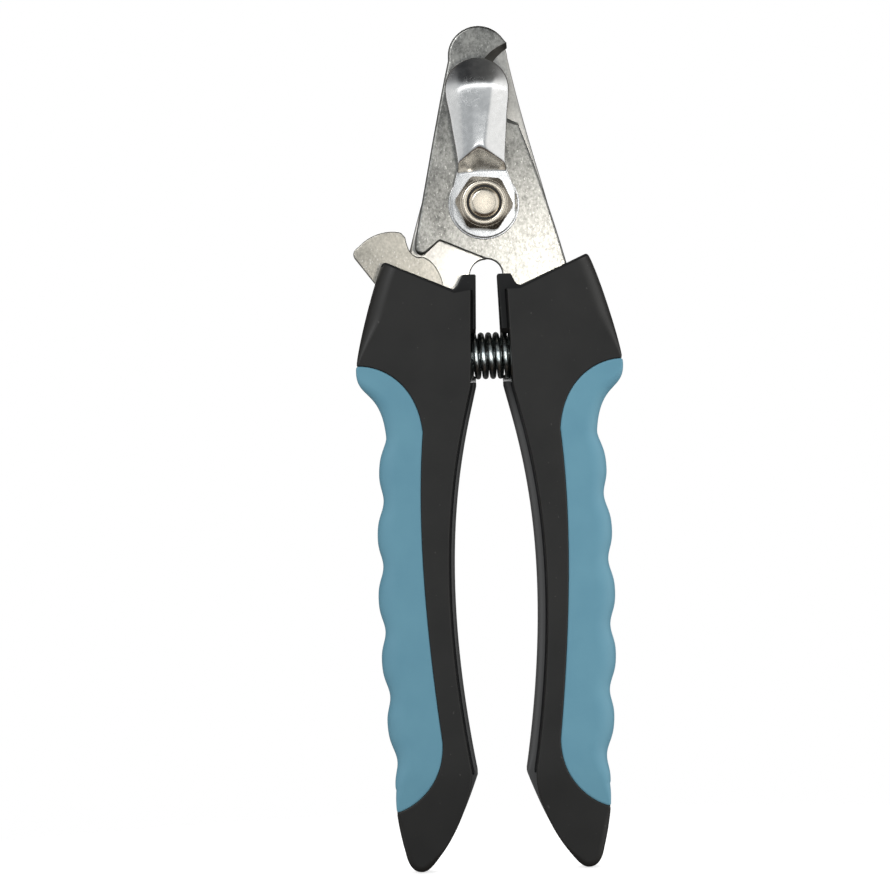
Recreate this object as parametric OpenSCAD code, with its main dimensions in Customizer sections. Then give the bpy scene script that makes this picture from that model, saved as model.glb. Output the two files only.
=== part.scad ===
// Pet nail trimmer. Two flat blades cross on one bolt and each runs down into a moulded handle.
// A coil spring pushes the handles apart, a formed guard swivels on the bolt, and a lock lever
// in the left handle holds the blades shut. All lengths are millimetres.
//
// X is to the right and Z is up towards the blade tip. The front of the tool faces -Y.
// The pivot axis is the line X = 0, Z = 0. The rear face of the bolt head lies on Y = 0.
// Outlines are written as [x, z] for the right handle and mirrored for the left one.

/* [Handles] */
// Depth of a handle, front to back
handle_depth = 14.2; // [13.8:0.1:15.5]
// Depth of the stiff middle layer of a handle
core_depth = 7.6; // [7.2:0.1:8]
// Half of the gap between the handles at the spring
wall_x = 1.95; // [1.6:0.05:2.2]
// How much wider that half gap is at the foot of the spring
wall_spread = 0.7; // [0.5:0.05:0.8]
// Step from the left core out to the edge of its covers
left_step = 1.1; // [0.8:0.1:1.6]
// Step from the right core out to the edge of its covers
right_step = 1.8; // [1.2:0.1:2]
// Step from a core out to the edge of its covers along the inside of a toe
rim = 0.25; // [0.2:0.05:0.4]
// How much lower the top of the left hood stands
left_drop = 0.5; // [0:0.1:0.6]
// Rounding of the outer edge of a hood and a grip
edge_round = 2.8; // [2:0.1:3]
// Rounding of the other cover edges
small_round = 0.6; // [0.3:0.1:0.8]
// How far a core reaches under its grip
grip_key = 3; // [2:0.1:3.5]
// Height at which the toes start to thin
toe_start = -111; // [-112:0.5:-110]
// Slope of the front and the back of a toe, in degrees
toe_slope = 8; // [6:0.5:8.5]

/* [Finger scallops] */
// Height of the first valley below the hood
scallop_top = -44.6; // [-44.8:0.1:-44.4]
// Distance from valley to valley
scallop_pitch = 12.54; // [12.4:0.02:12.7]
// Height of a scallop over its valleys
scallop_rise = 1.07; // [0.6:0.01:1.3]

/* [Blades] */
// Thickness of each blade plate
blade_thickness = 2.8; // [2.5:0.1:2.9]
// Gap between the two plates
blade_gap = 0.05; // [0.03:0.01:0.1]
// Height of the centre of the round top of the blades
blade_top_z = 28.8; // [28.6:0.1:29]
// Radius of the round top
blade_top_radius = 5.9; // [5.7:0.1:6]
// Height of the middle of the nail opening in the hook blade
jaw_z = 23.4; // [23.2:0.1:23.6]
// Radius of the round grinding cut that forms the opening
jaw_radius = 8.6; // [8.4:0.1:8.8]
// Angle of the grinding cut, which gives the cutting edge its bevel, in degrees
jaw_slant = 37; // [30:1:40]
// Place of the bottom of the opening on the front face, from the middle plane
jaw_reach = -0.95; // [-1.2:0.05:-0.7]
// Thickness left at the root of the anvil blade's bevel
anvil_land = 0.5; // [0.3:0.1:0.8]
// Radius of the concave edge of the anvil blade
anvil_edge_radius = 9.5; // [9:0.1:10]

/* [Pivot] */
// Radius of the bolt shank
bolt_radius = 2.95; // [2.9:0.01:3]
// Running gap between the bolt and the parts on it
running_gap = 0.05; // [0.02:0.01:0.09]
// Distance across the flats of the bolt head and the nut
across_flats = 10; // [9.8:0.1:10.2]
// Height of the bolt head
head_height = 3.4; // [3:0.1:3.6]
// Thickness of the washer under the bolt head
head_washer_thickness = 0.8; // [0.6:0.1:1]
// Radius of the washer under the bolt head
head_washer_radius = 6.5; // [6.2:0.1:6.7]
// Thickness of the washer under the guard
guard_washer_thickness = 0.5; // [0.4:0.05:0.7]
// Radius of the washer under the guard
guard_washer_radius = 6.9; // [6.7:0.05:7]
// Height of the hexagonal part of the nut
nut_height = 4; // [3.6:0.1:4.4]
// Height of the collar on the nut
collar_height = 1.6; // [1.4:0.1:1.8]
// Radius of the collar
collar_radius = 4.35; // [4.2:0.05:4.5]

/* [Guard] */
// Thickness of the guard sheet
guard_thickness = 1; // [0.8:0.1:1.2]
// How far the guard stands in front of its ring
guard_rise = 3.6; // [3:0.1:4.2]
// Tilt of the guard from the tool axis, in degrees
guard_tilt = 1.8; // [0:0.1:3]
// Radius of the guard ring
guard_ring_radius = 6.6; // [6.3:0.1:6.8]
// Half width of the guard at its neck
guard_neck = 4.55; // [4.4:0.05:4.7]
// Half width of the guard at its widest point
guard_half_width = 6.2; // [5.8:0.1:6.4]
// Distance from the pivot to the end of the guard
guard_reach = 28.4; // [28:0.1:28.8]

/* [Lock lever] */
// Thickness of the lever
lever_thickness = 1.9; // [1.6:0.05:1.9]
// Radius of the lever pin
lever_pin_radius = 1.6; // [1.4:0.05:1.7]
// Radius of the washer behind the lever
lever_washer_radius = 3.8; // [3.4:0.1:4]

/* [Spring] */
// Height of the spring axis
spring_z = -29.4; // [-29.6:0.1:-29.2]
// Outer radius of the coil
spring_radius = 4.7; // [4.5:0.05:4.8]
// Thickness of the spring wire
wire = 1.15; // [1:0.05:1.2]
// Number of turns
turns = 8.5; // [8:0.5:9.5]
// Distance from the middle plane to the floor of a spring cup
cup_floor = 6.9; // [6.7:0.05:7]

/* [Hidden] */
mid_y = -handle_depth / 2;
core_back = mid_y + core_depth / 2;
core_front = mid_y - core_depth / 2;
anvil_back = -head_height - head_washer_thickness;
anvil_front = anvil_back - blade_thickness;
hook_back = anvil_front - blade_gap;
hook_front = hook_back - blade_thickness;
guard_washer_front = hook_front - guard_washer_thickness;
guard_back = guard_washer_front - running_gap;
guard_front = guard_back - guard_thickness;
nut_back = guard_front - running_gap;
nut_front = nut_back - nut_height;
collar_front = nut_front - collar_height;
bolt_end = collar_front - 0.4;
bolt_chamfer = 0.8;
slide_radius = bolt_radius + running_gap;
nut_corner = across_flats * 0.555;
nut_chamfer = 1;
insert_radius = collar_radius - 0.45;
insert_front = collar_front + 0.25;
collar_bore = 3.35;
guard_neck_z = 7.3;
guard_widest_z = 22.5;
blade_top = [-0.2, blade_top_z];
lever_pivot = [-12.3, -19];
lever_washer_thickness = 0.45;
lever_washer_front = anvil_front - lever_washer_thickness;
lever_back = lever_washer_front - running_gap;
lever_front = lever_back - lever_thickness;
cup_mouth = 4.2;
cup_wall = 0.6;
cup_radius = spring_radius + 0.3 + cup_wall;
rivet_radius = 1.5;
rivet_spots = [[11.4, -32], [10.9, -43]];
steel = [0.78, 0.78, 0.76];
dark_steel = [0.25, 0.27, 0.28];
black = [0.16, 0.16, 0.16];
blue = [0.41, 0.57, 0.64];
$fn = 64;

function bezier(p, n) = [
    for (i = [0:n])
        let (t = i / n, s = 1 - t)
            s * s * s * p[0] + 3 * s * s * t * p[1] + 3 * s * t * t * p[2] + t * t * t * p[3]
];
function arc(centre, radius, from, to, n) = [
    for (i = [0:n])
        let (a = from + (to - from) * i / n)
            centre + radius * [cos(a), sin(a)]
];
function part_of(list, first, last) = [for (i = [first:last]) list[i]];
function backwards(list) = [for (i = [len(list) - 1:-1:0]) list[i]];
function shifted(list, by) = [for (p = list) p + by];
function mirrored(list) = [for (p = list) [-p[0], p[1]]];
function rounded(list, radius) = [for (p = list) [p[0], p[1], radius]];

// Lines of the right handle, each running from top to bottom
bow = bezier([[wall_x + wall_spread, -35.3], [4.9, -45], [12.1, -66.3], [4.8, -109.8]], 14);
toe_inner = bezier([[4.8, -110.5], [6.7, -115.7], [9.3, -122], [12.2, -125.7]], 6);
hood_side = bezier([[19.9, -10.5], [21.2, -13], [24.1, -22], [25.45, -29]], 6);
shoulder = bezier([[25.45, -29], [27.4, -38], [21.3, -33.8], [20.45, scallop_top]], 12);
toe_outer = bezier([[20.7, -113], [21.1, -116.5], [20.3, -121.5], [19.3, -125.3]], 8);
toe_tip = concat(
    bezier([[19.3, -125.3], [18.8, -128.2], [17.6, -129.2], [16.2, -129.2]], 5),
    part_of(bezier([[16.2, -129.2], [14.8, -129.2], [13.8, -127.8], [12.2, -125.7]], 4), 1, 3)
);
grip_top = bezier([shoulder[1], [22.5, -30.6], [14.3, -33], [13.3, -44]], 8);
grip_side = bezier([[13.3, -44], [15.2, -62.5], [13.75, -84], [11.45, -104]], 8);
grip_heel = bezier([[11.45, -104], [11.25, -113.2], [18.5, -117], toe_outer[3]], 8);

// Distance from the middle plane to the outer edge of a grip at height z
function grip_edge(z) =
    let (turn = (scallop_top - z) / scallop_pitch * 360, u = (z + 79) / 35)
        21.85 + 0.36 * u - 1.87 * u * u
        + scallop_rise * ((1 - cos(turn)) / 2 + 0.08 * (1 - cos(2 * turn)));
scallops = [for (i = [1:53]) let (z = scallop_top - i * scallop_pitch / 10) [grip_edge(z), z]];

// A slab between two depths, seen from the front
module slab(front, back) {
    translate([0, back, 0])
        rotate([90, 0, 0])
            linear_extrude(back - front)
                children();
}

// A round bar along Y
module rod(radius, front, back) {
    slab(front, back)
        circle(radius);
}

// A round hole or bar along Y at a point of the front view
module rod_at(spot, radius, front, back) {
    translate([spot[0], 0, spot[1]])
        rod(radius, front, back);
}

// Unit miter vector at each corner of an outline that runs clockwise, pointing inwards
function miter(list) =
    let (n = len(list))
        [for (i = [0:n - 1])
            let (
                a = list[(i + n - 1) % n],
                b = list[i],
                c = list[(i + 1) % n],
                u = [b[0] - a[0], b[1] - a[1]] / norm([b[0] - a[0], b[1] - a[1]]),
                v = [c[0] - b[0], c[1] - b[1]] / norm([c[0] - b[0], c[1] - b[1]]),
                m = [u[1] + v[1], -u[0] - v[0]],
                d = max(1 + u[0] * v[0] + u[1] * v[1], 0.6)
            )
                m / d];

// True when corner k of the outline left over can be cut off as one triangle
function is_ear(p, left, k) =
    let (
        n = len(left),
        a = p[left[(k + n - 1) % n]],
        b = p[left[k]],
        c = p[left[(k + 1) % n]]
    )
        cross(b - a, c - b) < -1e-7
            && len([
                for (q = left)
                    let (d = p[q])
                        if (d != a && d != b && d != c && cross(b - a, d - a) <= 0
                            && cross(c - b, d - b) <= 0 && cross(a - c, d - c) <= 0)
                            q
            ]) == 0;
function next_ear(p, left, k, tries) =
    tries == 0 || is_ear(p, left, k % len(left))
        ? k % len(left)
        : next_ear(p, left, k + 1, tries - 1);

// Triangles that fill an outline of [x, z] points drawn clockwise
function fill(p, left, start, found) =
    len(left) == 3
        ? concat(found, [left])
        : let (n = len(left), k = next_ear(p, left, start, n))
            fill(
                p,
                [for (i = [0:n - 1]) if (i != k) left[i]],
                k + 1,
                concat(found, [[left[(k + n - 1) % n], left[k], left[(k + 1) % n]]])
            );

// A moulded slab. Each outline point is [x, z, edge radius]. The outline runs clockwise.
module moulding(list, front, back, round_back) {
    n = len(list);
    m = miter(list);
    back_angles = round_back ? [90, 60, 30, 0] : [0];
    rings = concat(
        [
            for (a = back_angles)
                [
                    for (i = [0:n - 1])
                        let (r = list[i][2], in = r * (1 - cos(a)))
                            [
                                list[i][0] + m[i][0] * in,
                                round_back ? back - r * (1 - sin(a)) : back,
                                list[i][1] + m[i][1] * in
                            ]
                ]
        ],
        [
            for (a = [0, 30, 60, 90])
                [
                    for (i = [0:n - 1])
                        let (r = list[i][2], in = r * (1 - cos(a)))
                            [
                                list[i][0] + m[i][0] * in,
                                front + r * (1 - sin(a)),
                                list[i][1] + m[i][1] * in
                            ]
                ]
        ]
    );
    last = len(rings) - 1;
    order = [for (i = [0:n - 1]) i];
    back_fill = fill([for (q = rings[0]) [q[0], q[2]]], order, 0, []);
    front_fill = fill([for (q = rings[last]) [q[0], q[2]]], order, 0, []);
    polyhedron(
        points = [for (ring = rings) each ring],
        faces = concat(
            [for (t = back_fill) [t[2], t[1], t[0]]],
            [for (t = front_fill) [last * n + t[0], last * n + t[1], last * n + t[2]]],
            [
                for (k = [0:last - 1])
                    for (i = [0:n - 1])
                        let (j = (i + 1) % n)
                            each [
                                [k * n + i, k * n + j, (k + 1) * n + j],
                                [k * n + i, (k + 1) * n + j, (k + 1) * n + i]
                            ]
            ]
        )
    );
}

// Outline of the stiff middle layer, with the top of its hood lowered by drop
function core_outline(drop) = concat(
    [[wall_x + 0.1, -13.6], [4.7, -13.6], [5.2, -14.6], [5.7, -15.6]],
    [[6.5, -15.9 - drop], [15.7, -11.9 - drop], [19.5, -10.2 - drop]],
    [hood_side[0] - [0, drop]],
    part_of(hood_side, 1, 6),
    part_of(shoulder, 1, 1),
    part_of(bezier([shoulder[1], [24, -32], [17.3, -34], [13.3 + grip_key, -44]], 6), 1, 5),
    shifted(grip_side, [grip_key, 0]),
    part_of(bezier([[11.45 + grip_key, -104], [14.6, -112], [18.4, -116], toe_outer[3]], 5), 1, 5),
    part_of(toe_outer, 4, 7),
    toe_tip,
    backwards(toe_inner),
    backwards(bow)
);

// Outline of a cover, with its edge radii, for one step in from the core and one drop of its top
function cover_outline(step, drop) = concat(
    [[wall_x + step, -16.7, small_round], [6.4, -16.7 - drop, small_round]],
    [[15.7, -12.5 - drop, small_round], [18.8, -11.1 - drop, small_round]],
    rounded([hood_side[0] - [0, drop]], 1.2),
    rounded(part_of(hood_side, 1, 6), edge_round),
    rounded(part_of(grip_top, 0, 8), 0.35),
    rounded(part_of(grip_side, 1, 8), 0.35),
    rounded(part_of(grip_heel, 1, 8), 0.35),
    rounded(part_of(toe_outer, 4, 7), 0.9),
    rounded(toe_tip, 0.9),
    rounded(shifted(part_of(backwards(toe_inner), 1, 6), [rim, 0]), small_round),
    rounded(shifted(backwards(bow), [step, 0]), small_round)
);

// Outline of a grip, with its edge radii
grip_outline = concat(
    rounded(part_of(shoulder, 1, 1), 0.35),
    rounded(part_of(shoulder, 2, 8), edge_round / 2),
    rounded(part_of(shoulder, 9, 12), edge_round),
    rounded(scallops, edge_round),
    rounded(part_of(toe_outer, 0, 1), 2),
    rounded(part_of(toe_outer, 2, 2), 1.2),
    rounded(part_of(toe_outer, 3, 3), 0.35),
    rounded(backwards(part_of(grip_heel, 1, 7)), 0.35),
    rounded(backwards(part_of(grip_side, 1, 8)), 0.35),
    rounded(backwards(part_of(grip_top, 1, 8)), 0.35)
);

// Lower part of a blade plate, drawn clockwise. Its tang runs down to the right.
plate_lower = concat(
    bezier([[7.3, 14.8], [11.4, 4], [14.3, -6.5], [16.2, -14]], 6),
    arc([12.4, -46], 1.4, 0, -90, 3),
    arc([9.4, -46], 1.4, -90, -180, 3),
    [[7.9, -24], [3.15, -14.6]],
    arc([0.1, -13.7], 3.05, 0, 90, 4),
    [[-8.8, -6.8]],
    arc([-12.35, -8.15], 1.3, -45, -192, 7)
);
hook_outline = concat(
    plate_lower,
    bezier([[-13.5, -6], [-11.6, 2.5], [-8.6, 18], [-6.1, 28]], 6),
    arc(blade_top, blade_top_radius, 172, 32, 12),
    [[5.38, 31.25]]
);
anvil_outline = concat(
    mirrored(plate_lower),
    bezier([[14.2, -4.8], [12.2, 2.6], [8.9, 11.5], [5.5, 28.5]], 6),
    arc([-0.2, 28.3], 5.7, 8, 158, 10)
);

// A blade plate with its pivot hole and rivet holes
module plate(outline, side, front, back) {
    difference() {
        slab(front, back)
            polygon(outline);
        rod(slide_radius, front - 1, back + 1);
        for (spot = rivet_spots)
            rod_at([side * spot[0], spot[1]], rivet_radius, front - 1, back + 1);
    }
}

module hook_blade() {
    color(steel)
        difference() {
            plate(hook_outline, 1, hook_front, hook_back);
            translate([jaw_reach + jaw_radius / cos(jaw_slant), hook_front, jaw_z])
                rotate([90, 0, -jaw_slant])
                    cylinder(h = 6 * blade_thickness, r = jaw_radius, center = true);
        }
}

module anvil_blade() {
    edge = [-2.5 - anvil_edge_radius, 22];
    color(steel)
        difference() {
            plate(anvil_outline, -1, anvil_front, anvil_back);
            rod_at(edge, anvil_edge_radius, anvil_front - 1, anvil_back + 1);
            translate([edge[0], anvil_front + anvil_land, edge[1]])
                rotate([-90, 0, 0])
                    cylinder(
                        h = blade_thickness - anvil_land,
                        r1 = anvil_edge_radius,
                        r2 = anvil_edge_radius + 1.6
                    );
            rod_at(lever_pivot, lever_pin_radius, anvil_front - 1, anvil_back + 1);
        }
}

module pivot_bolt() {
    color(steel) {
        intersection() {
            rotate([90, 0, 0])
                cylinder(h = head_height, r = across_flats / sqrt(3), $fn = 6);
            rotate([90, 0, 0])
                cylinder(h = 12, r1 = across_flats / 2 - 0.2, r2 = across_flats / 2 + 20);
        }
        rod(bolt_radius, bolt_end + bolt_chamfer, -head_height);
        translate([0, bolt_end + bolt_chamfer, 0])
            rotate([90, 0, 0])
                cylinder(h = bolt_chamfer, r1 = bolt_radius, r2 = bolt_radius - bolt_chamfer);
    }
}

module washer(radius, front, back) {
    difference() {
        rod(radius, front, back);
        rod(slide_radius, front - 1, back + 1);
    }
}

module head_washer() {
    color(steel)
        washer(head_washer_radius, anvil_back, -head_height);
}

module guard_washer() {
    color(steel)
        washer(guard_washer_radius, guard_washer_front, hook_front);
}

module lock_nut() {
    color(steel)
        difference() {
            union() {
                intersection() {
                    rotate([0, 5.6, 0])
                        translate([0, nut_back, 0])
                            rotate([90, 0, 0])
                                cylinder(h = nut_height, r = across_flats / sqrt(3), $fn = 6);
                    union() {
                        rod(nut_corner, nut_front + nut_chamfer, nut_back + 1);
                        translate([0, nut_front + nut_chamfer, 0])
                            rotate([90, 0, 0])
                                cylinder(h = nut_chamfer, r1 = nut_corner, r2 = across_flats / 2 - 0.4);
                    }
                }
                rod(collar_radius, collar_front, nut_front + 1);
            }
            rod(slide_radius, collar_front - 1, nut_back + 1);
            rod(insert_radius, insert_front, nut_front);
            rod(collar_bore, collar_front - 1, nut_front);
        }
}

module nut_insert() {
    color([0.85, 0.85, 0.8])
        difference() {
            rod(insert_radius, insert_front, nut_front);
            rod(bolt_radius, collar_front - 1, nut_front + 1);
        }
}

// Half width of the guard at distance z from the pivot
function guard_width(z) =
    let (run = guard_widest_z - guard_neck_z, flare = guard_half_width - guard_neck)
        z < guard_neck_z ? guard_neck + (guard_neck_z - z) * 0.315
        : z < guard_widest_z ? guard_neck + flare * pow((z - guard_neck_z) / run, 1.15)
        : guard_half_width * sqrt(1 - pow((z - guard_widest_z) / (guard_reach - guard_widest_z + 0.1), 2));
// Half width of the flat band down the middle of the guard
function guard_band(z) = min(0.95 + max(z - 8, 0) * 0.097, guard_width(z) * 0.5);
// Height of the guard over its ring along the middle band
function guard_lift(z) =
    let (up = min(max((z - 6) / 4.5, 0), 1), down = min(max((z - 24) / 4.4, 0), 1))
        guard_rise * up * up * (3 - 2 * up) - 2.4 * down * down;
// Heights at which the guard sheet has a row of points: close together on its ramp and at its end
guard_rows = concat(
    [4.4],
    [for (i = [0:9]) 6 + i * 0.5],
    [for (i = [1:5]) 10 + i * 2.5],
    [for (i = [1:9]) guard_widest_z + (guard_reach - guard_widest_z) * sin(i * 10)]
);

module guard_sheet() {
    n = 7;
    function across(z, k) =
        let (w = guard_width(z), b = guard_band(z))
            [-w, -(w + b) / 2, -b, 0, b, (w + b) / 2, w][k];
    function depth(z, x) = guard_front - guard_lift(z)
        + min(max(abs(x) - guard_band(z), 0) * 0.42, 1.6) * min(max((z - 6) / 4.5, 0), 1);
    skin = [
        for (back = [0, guard_thickness])
            for (z = guard_rows)
                for (k = [0:n - 1])
                    let (x = across(z, k))
                        [x, depth(z, x) + back, z]
    ];
    m = len(guard_rows);
    half = m * n;
    polyhedron(
        points = skin,
        faces = concat(
            [for (i = [0:m - 2]) for (k = [0:n - 2]) let (a = i * n + k)
                each [[a, a + n, a + n + 1], [a, a + n + 1, a + 1]]],
            [for (i = [0:m - 2]) for (k = [0:n - 2]) let (a = half + i * n + k)
                each [[a, a + n + 1, a + n], [a, a + 1, a + n + 1]]],
            [for (i = [0:m - 2]) let (a = i * n)
                each [[a, half + a, half + a + n], [a, half + a + n, a + n]]],
            [for (i = [0:m - 2]) let (a = i * n + n - 1)
                each [[a, half + a + n, half + a], [a, a + n, half + a + n]]],
            [for (k = [0:n - 2])
                each [[k, half + k + 1, half + k], [k, k + 1, half + k + 1]]],
            [for (k = [0:n - 2]) let (a = (m - 1) * n + k)
                each [[a, half + a, half + a + 1], [a, half + a + 1, a + 1]]]
        )
    );
}

module safety_guard() {
    color(steel)
        rotate([0, -guard_tilt, 0]) {
            difference() {
                union() {
                    rod(guard_ring_radius, guard_front, guard_back);
                    slab(guard_front, guard_back)
                        polygon([
                            [-guard_width(2.47), 2.47],
                            [-guard_width(6.5), 6.5],
                            [guard_width(6.5), 6.5],
                            [guard_width(2.47), 2.47]
                        ]);
                }
                rod(slide_radius, guard_front - 1, guard_back + 1);
            }
            guard_sheet();
        }
}

// Outline of the lock lever, drawn clockwise from its free end
lever_outline = concat(
    arc([-24.3, -9], 1.4, 222, 135, 4),
    bezier([[-24.2, -7.1], [-22, -4.9], [-18.4, -4.3], [-16.3, -5]], 5),
    bezier([[-15.5, -5.9], [-15.1, -8.6], [-14.3, -9.7], [-12.8, -9.85]], 5),
    bezier([[-12, -9.9], [-10.5, -10.4], [-9.2, -12.2], [-8.5, -14.8]], 5),
    arc(lever_pivot, 4, 20, -110, 6),
    [[-21.4, -15.2]]
);

module lock_lever() {
    color(steel)
        difference() {
            slab(lever_front, lever_back)
                polygon(lever_outline);
            rod_at(lever_pivot, lever_pin_radius + running_gap, lever_front - 1, lever_back + 1);
        }
}

module lever_pin() {
    color(steel)
        rod_at(lever_pivot, lever_pin_radius, core_front, core_back);
}

module lever_washer() {
    color(steel)
        difference() {
            rod_at(lever_pivot, lever_washer_radius, lever_washer_front, anvil_front);
            rod_at(lever_pivot, lever_pin_radius, lever_washer_front - 1, anvil_front + 1);
        }
}

module return_spring() {
    sides = 6;
    per_turn = 14;
    count = turns * per_turn;
    half_length = cup_floor - wire / 2 - 0.03;
    coil = spring_radius - wire / 2;
    path = [
        for (i = [0:count])
            for (k = [0:sides - 1])
                let (
                    a = i / per_turn * 360,
                    b = k * 360 / sides,
                    r = coil + wire / 2 * cos(b)
                )
                    [
                        -half_length + 2 * half_length * i / count + wire / 2 * sin(b),
                        mid_y + r * cos(a),
                        spring_z + r * sin(a)
                    ]
    ];
    color(dark_steel)
        polyhedron(
            points = path,
            faces = concat(
                [[for (k = [0:sides - 1]) k]],
                [[for (k = [sides - 1:-1:0]) count * sides + k]],
                [
                    for (i = [0:count - 1])
                        for (k = [0:sides - 1])
                            let (a = i * sides + k, b = i * sides + (k + 1) % sides)
                                each [[a, a + sides, b + sides], [a, b + sides, b]]
                ]
            )
        );
}

// A round bar along X that starts at a distance from the middle plane
module cross_rod(radius, from, to) {
    translate([from, mid_y, spring_z])
        rotate([0, 90, 0])
            cylinder(h = to - from, r = radius);
}

module spring_cup() {
    color(dark_steel)
        difference() {
            cross_rod(cup_radius, cup_mouth, cup_floor + cup_wall);
            cross_rod(cup_radius - cup_wall, cup_mouth - 1, cup_floor);
        }
}

// Room in a handle for the spring and its cup
module spring_room() {
    cross_rod(cup_radius, cup_mouth, cup_floor + cup_wall);
    cross_rod(cup_radius - cup_wall / 2, 0, cup_mouth + 0.1);
}

module left_spring_cup() {
    mirror([1, 0, 0])
        spring_cup();
}

module right_spring_cup() {
    spring_cup();
}

// A core without its tang, drawn for the right handle
module core(step, drop) {
    difference() {
        slab(core_front, core_back)
            polygon(core_outline(drop));
        spring_room();
        translate([0, core_front - 1, spring_z - cup_radius + cup_wall / 2])
            cube([wall_x + wall_spread + step, mid_y - core_front + 1, 2 * cup_radius - cup_wall]);
        for (spot = rivet_spots)
            rod_at(spot, rivet_radius, core_front - 1, core_back + 1);
    }
}

// Room for the lock lever at every angle it swings through
module lever_room() {
    slab(lever_front - 0.15, anvil_front)
        polygon(concat(
            arc(lever_pivot, 8.9, 25, 92, 6),
            arc(lever_pivot, 17.6, 95, 203, 14),
            [lever_pivot - [8.8, 5.9], lever_pivot - [0.6, 4.8]],
            arc(lever_pivot, 4.7, -75, 25, 5)
        ));
}

module left_core() {
    color(black)
        difference() {
            mirror([1, 0, 0])
                core(left_step, left_drop);
            slab(anvil_front, anvil_back)
                polygon(mirrored(plate_lower));
            lever_room();
            rod_at(lever_pivot, lever_pin_radius, core_front - 1, core_back + 1);
        }
}

module right_core() {
    color(black)
        difference() {
            core(right_step, 0);
            slab(hook_front, hook_back)
                polygon(plate_lower);
        }
}

// A front cover, drawn for the right handle
module front_cover(step, drop) {
    difference() {
        moulding(cover_outline(step, drop), -handle_depth, core_front, false);
        spring_room();
        toe_wedge();
    }
}

// A rear cover is a front cover turned to face the back
module back_cover(step, drop) {
    translate([0, -handle_depth, 0])
        mirror([0, 1, 0])
            front_cover(step, drop);
}

// Material taken off the front of a toe so that it thins towards its tip
module toe_wedge() {
    translate([0, -handle_depth, toe_start])
        rotate([toe_slope, 0, 0])
            translate([0, -10, -30])
                cube([30, 10, 30]);
}

module left_front_shell() {
    color(black)
        mirror([1, 0, 0])
            front_cover(left_step, left_drop);
}

module right_front_shell() {
    color(black)
        front_cover(right_step, 0);
}

module left_back_shell() {
    color(black)
        mirror([1, 0, 0])
            back_cover(left_step, left_drop);
}

module right_back_shell() {
    color(black)
        back_cover(right_step, 0);
}

// A grip, drawn for the right handle
module grip() {
    color(blue)
        difference() {
            moulding(grip_outline, -handle_depth, 0, true);
            slab(core_front, core_back)
                polygon(core_outline(0));
        }
}

module left_grip() {
    mirror([1, 0, 0])
        grip();
}

module right_grip() {
    grip();
}

module tang_rivets(side) {
    color(steel)
        for (spot = rivet_spots)
            rod_at([side * spot[0], spot[1]], rivet_radius, core_front, core_back);
}

module left_tang_rivets() {
    tang_rivets(-1);
}

module right_tang_rivets() {
    tang_rivets(1);
}

hook_blade();
anvil_blade();
pivot_bolt();
head_washer();
guard_washer();
safety_guard();
lock_nut();
nut_insert();
lock_lever();
lever_pin();
lever_washer();
return_spring();
left_spring_cup();
right_spring_cup();
left_core();
right_core();
left_front_shell();
right_front_shell();
left_back_shell();
right_back_shell();
left_grip();
right_grip();
left_tang_rivets();
right_tang_rivets();
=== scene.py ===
"""Looks of a pet nail trimmer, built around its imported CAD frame.

Outlines and small sizes are in millimetres and are turned into metres when a piece is finished.
Outlines are (x, z) points seen from the front. Those of a handle are of the right one, and the left
one mirrors them.
"""

import math

import bmesh
import bpy
import numpy as np
from mathutils import Matrix, Vector


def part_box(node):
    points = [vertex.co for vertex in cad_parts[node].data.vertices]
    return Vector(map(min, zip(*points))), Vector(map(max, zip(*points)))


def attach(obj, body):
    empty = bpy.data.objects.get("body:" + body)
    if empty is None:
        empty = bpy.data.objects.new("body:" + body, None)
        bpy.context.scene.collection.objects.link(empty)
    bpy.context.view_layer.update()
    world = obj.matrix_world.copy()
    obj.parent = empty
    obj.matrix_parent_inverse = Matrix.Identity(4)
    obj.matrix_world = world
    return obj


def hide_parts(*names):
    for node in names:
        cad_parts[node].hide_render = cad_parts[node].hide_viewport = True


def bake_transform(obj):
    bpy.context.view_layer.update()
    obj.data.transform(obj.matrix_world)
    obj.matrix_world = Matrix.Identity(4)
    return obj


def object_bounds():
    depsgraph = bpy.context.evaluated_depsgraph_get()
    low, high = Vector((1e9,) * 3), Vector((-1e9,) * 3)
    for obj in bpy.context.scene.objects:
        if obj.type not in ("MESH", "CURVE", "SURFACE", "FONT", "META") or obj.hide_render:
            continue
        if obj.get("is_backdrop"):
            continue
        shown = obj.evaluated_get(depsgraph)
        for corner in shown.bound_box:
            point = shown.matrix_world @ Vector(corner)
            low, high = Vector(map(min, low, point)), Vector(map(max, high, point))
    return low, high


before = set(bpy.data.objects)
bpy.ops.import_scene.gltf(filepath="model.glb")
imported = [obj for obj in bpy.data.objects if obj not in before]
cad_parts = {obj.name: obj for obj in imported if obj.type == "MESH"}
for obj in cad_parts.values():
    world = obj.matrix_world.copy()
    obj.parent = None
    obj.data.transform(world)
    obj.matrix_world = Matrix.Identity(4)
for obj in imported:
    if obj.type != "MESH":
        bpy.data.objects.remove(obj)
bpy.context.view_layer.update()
MM = 0.001


def depths(node):
    """Front and back of a CAD node along Y, in millimetres."""
    low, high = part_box(node)
    return low.y / MM, high.y / MM


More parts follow.
